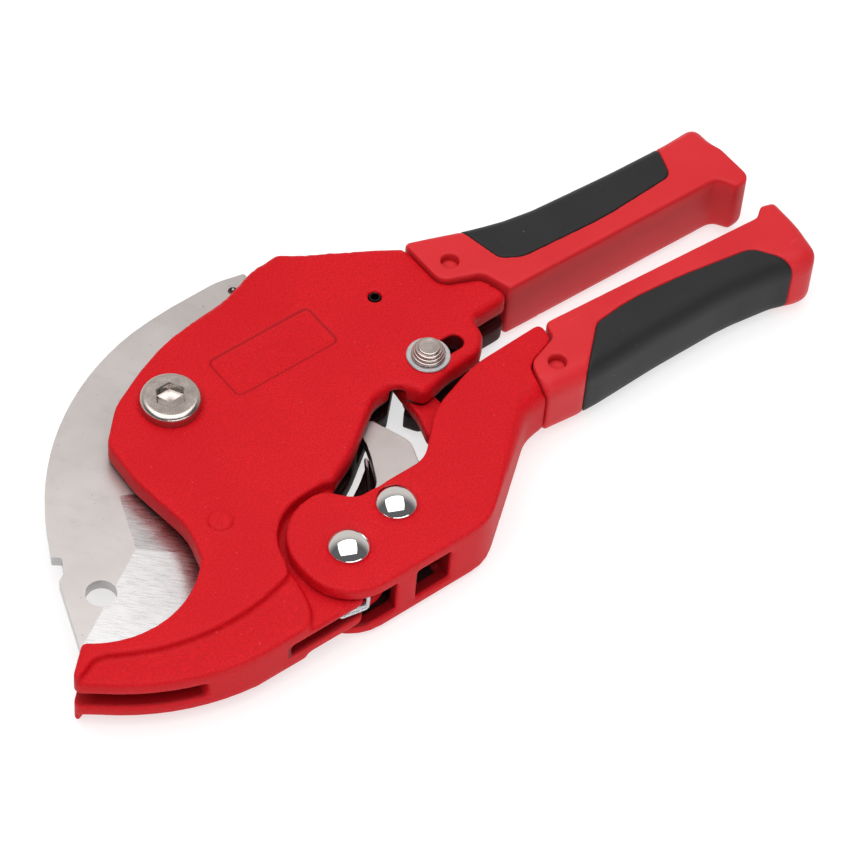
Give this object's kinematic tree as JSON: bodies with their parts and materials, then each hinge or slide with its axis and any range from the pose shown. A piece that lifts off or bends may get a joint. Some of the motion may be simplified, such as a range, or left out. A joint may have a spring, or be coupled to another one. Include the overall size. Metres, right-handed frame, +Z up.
{
  "type": "pvc pipe cutter",
  "caption": "Ratchet hand cutter for plastic pipe: red cast frame with a curved jaw, a swinging steel blade, a ratchet lever, a sliding lock and two soft-grip handles.",
  "frame": {"origin": "blade pivot axis, at the end face of the pivot bolt that the tool lies on", "axes": "+X towards the handles, +Y towards the back of the frame (away from the lever), +Z up along the blade's pivot axis"},
  "size_m": [0.2112, 0.0943, 0.0221],
  "materials": {
    "casting_paint": "fine-textured red powder coat",
    "blade_steel": "satin, ground lines on the bevels",
    "rivet_chrome": "polished",
    "bolt_nickel": "satin nickel plate",
    "bush_brass": "plain",
    "spring_steel": "bright wire",
    "pin_black": "black oxide",
    "sleeve_plastic": "moulded, satin",
    "grip_rubber": "soft matt"
  },
  "bodies": {
    "frame": {"body_casting": "casting_paint", "pivot_bolt": "bolt_nickel", "pivot_nut": "bolt_nickel", "pivot_bush": "bush_brass", "blade_washers": "spring_steel", "lever_rivet": "rivet_chrome", "roll_pin": "pin_black", "upper_sleeve": "sleeve_plastic", "upper_grip": "grip_rubber", "upper_handle_peg": "sleeve_plastic", "lever_spring": "spring_steel", "blade_spring": "spring_steel"},
    "blade": {"blade": "blade_steel"},
    "lever": {"lever_casting": "casting_paint", "pawl_rivet": "rivet_chrome", "pawl_spacer": "spring_steel", "pawl_spring": "spring_steel", "lower_sleeve": "sleeve_plastic", "lower_grip": "grip_rubber", "lower_handle_peg": "sleeve_plastic"},
    "drive_pawl": {"drive_pawl": "blade_steel"},
    "lock": {"lock_pin": "bolt_nickel", "lock_washers": "spring_steel", "lock_clip": "pin_black"}
  },
  "joints": [
    {"name": "blade_swing", "type": "hinge", "parent": "frame", "child": "blade", "pos_m": [0, 0, 0.01], "axis": [0, 0, 1], "range_deg": [-66, 0], "deforming": ["blade_spring"]},
    {"name": "lever_squeeze", "type": "hinge", "parent": "frame", "child": "lever", "pos_m": [0.0088, -0.0548, 0.01], "axis": [0, 0, 1], "range_deg": [-28, 0], "deforming": ["lever_spring"]},
    {"name": "pawl_swing", "type": "hinge", "parent": "lever", "child": "drive_pawl", "pos_m": [0.0246, -0.0513, 0.01], "axis": [0, 0, 1], "range_deg": [0, 36], "deforming": ["pawl_spring"]},
    {"name": "lock_slide", "type": "slide", "parent": "frame", "child": "lock", "axis": [1, 0, 0], "range_m": [0, 0.0075]}
  ],
  "couplings": [
    {"joint": "pawl_swing", "follows": "lever_squeeze", "ratio": -1.25}
  ]
}
